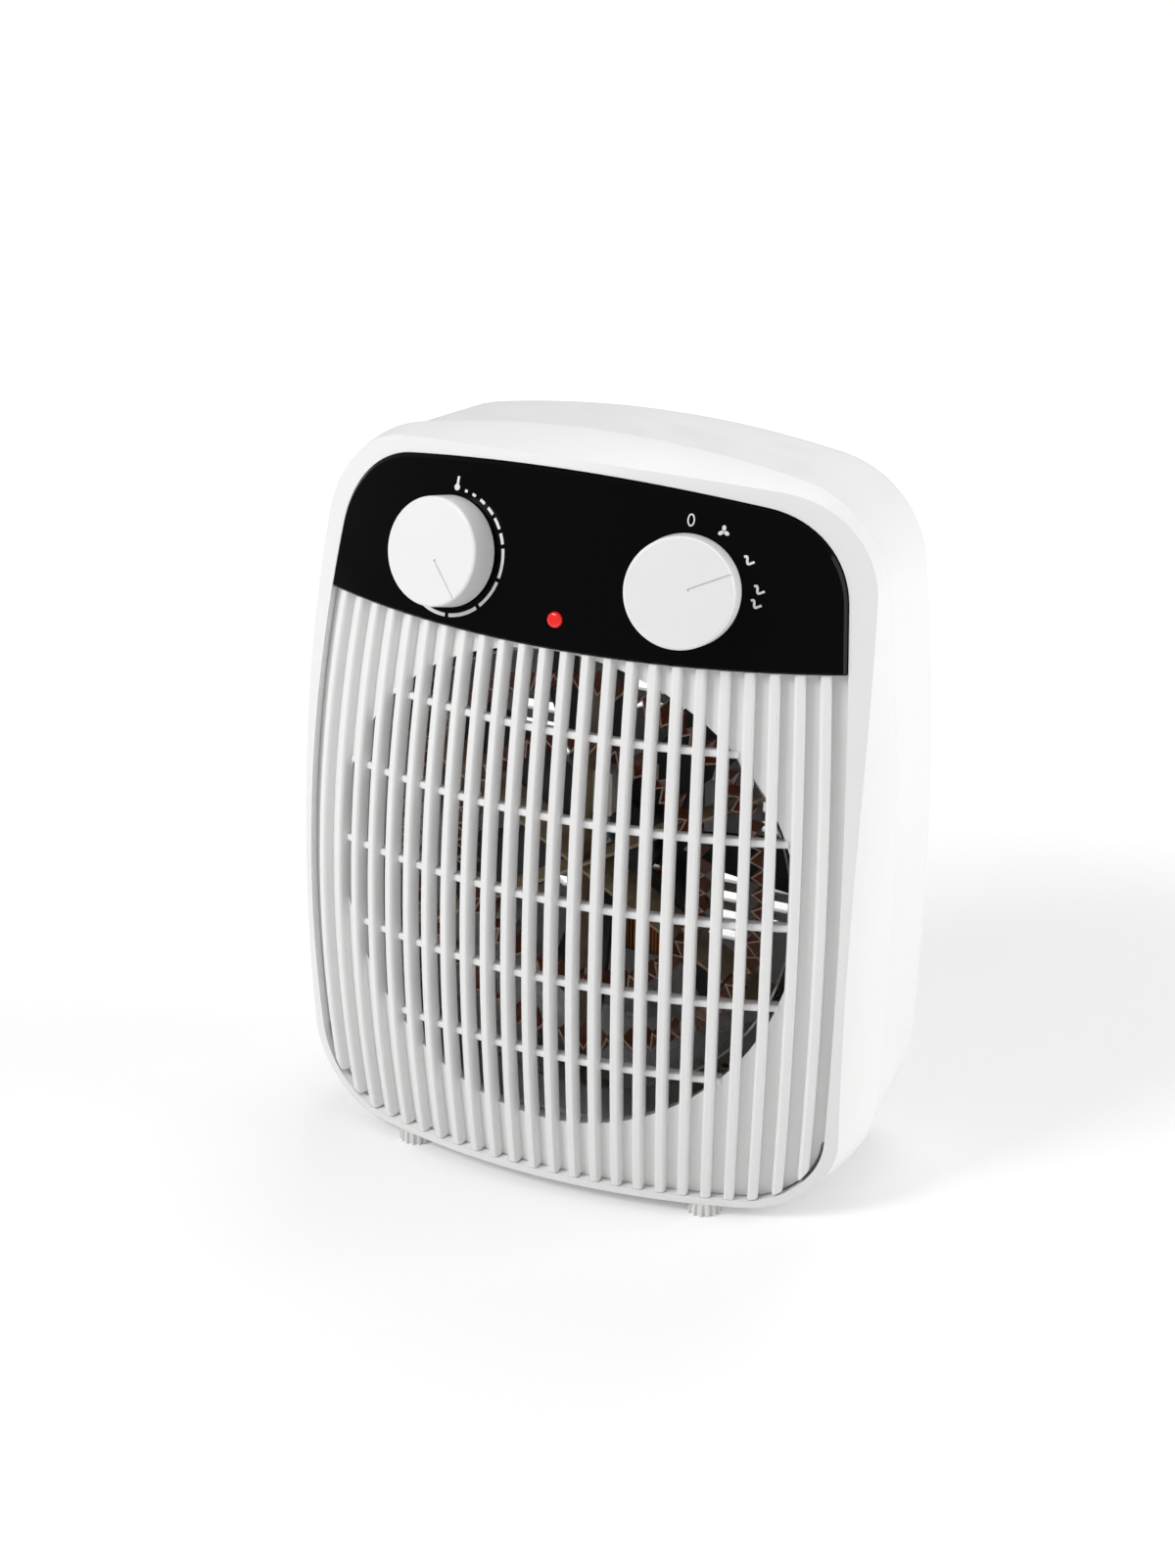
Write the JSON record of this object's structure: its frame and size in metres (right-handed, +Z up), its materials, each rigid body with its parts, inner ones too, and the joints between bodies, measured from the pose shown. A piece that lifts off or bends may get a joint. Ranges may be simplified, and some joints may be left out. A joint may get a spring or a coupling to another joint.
{
  "type": "fan heater",
  "caption": "Compact upright fan heater with a ribbed curved front over a round outlet, a control panel with rotary thermostat and heat switch, a rear air inlet and a grip recess.",
  "frame": {"origin": "middle of the heater's footprint, on the surface its feet stand on", "axes": "+X to the right as seen from the front, +Y towards the back, +Z up"},
  "size_m": [0.213, 0.11, 0.2595],
  "materials": {
    "shell_white": "satin white moulding",
    "grille_white": "satin white moulding",
    "panel_black": "gloss black",
    "knob_white": "satin white",
    "zinc_steel": "zinc plated",
    "nylon_natural": "matt",
    "switch_dark": "matt",
    "nickel_brass": "plated",
    "lens_red": "clear red",
    "lamp_glass": "clear",
    "foot_rubber": "matt white",
    "screw_steel": "zinc plated",
    "galvanised": "galvanised",
    "mica": "mica board",
    "heating_alloy": "oxidised",
    "ceramic": "glazed",
    "fan_grey": "matt",
    "spring_steel": "blued",
    "laminations": "bare",
    "copper_wire": "varnished copper wire",
    "gland_black": "matt"
  },
  "bodies": {
    "housing": {"front_shell": "shell_white", "front_grille": "grille_white", "control_panel": "panel_black", "thermostat_body": "zinc_steel", "switch_body": "switch_dark", "control_nuts": "nickel_brass", "indicator_lens": "lens_red", "indicator_lamp": "lamp_glass", "rear_shell": "shell_white", "feet": "foot_rubber", "housing_screws": "screw_steel", "duct_screws": "screw_steel", "motor_screws": "screw_steel", "air_duct": "galvanised", "mica_frame": "mica", "outer_ribbon": "heating_alloy", "inner_ribbon": "heating_alloy", "thermal_cutout": "ceramic", "thermal_fuse": "zinc_steel", "stator": "laminations", "winding": "copper_wire", "front_bearing_bracket": "galvanised", "rear_bearing_bracket": "galvanised", "terminal_block": "nylon_natural", "cord_gland": "gland_black"},
    "fan_rotor": {"fan": "fan_grey", "fan_clip": "spring_steel", "motor_shaft": "screw_steel", "rotor": "laminations"},
    "thermostat_control": {"thermostat_knob": "knob_white", "thermostat_spindle": "zinc_steel"},
    "switch_control": {"switch_knob": "knob_white", "switch_spindle": "nylon_natural"}
  },
  "joints": [
    {"name": "fan_spin", "type": "hinge", "parent": "housing", "child": "fan_rotor", "pos_m": [0, 0.01, 0.1117], "axis": [0, -1, 0], "continuous": true},
    {"name": "thermostat_turn", "type": "hinge", "parent": "housing", "child": "thermostat_control", "pos_m": [-0.0412, -0.03462, 0.221], "axis": [-0.195, -0.9494, 0.2462], "range_deg": [-93, 122]},
    {"name": "switch_turn", "type": "hinge", "parent": "housing", "child": "switch_control", "pos_m": [0.0412, -0.03462, 0.221], "axis": [0.195, -0.9494, 0.2462], "range_deg": [-32, 61]}
  ]
}
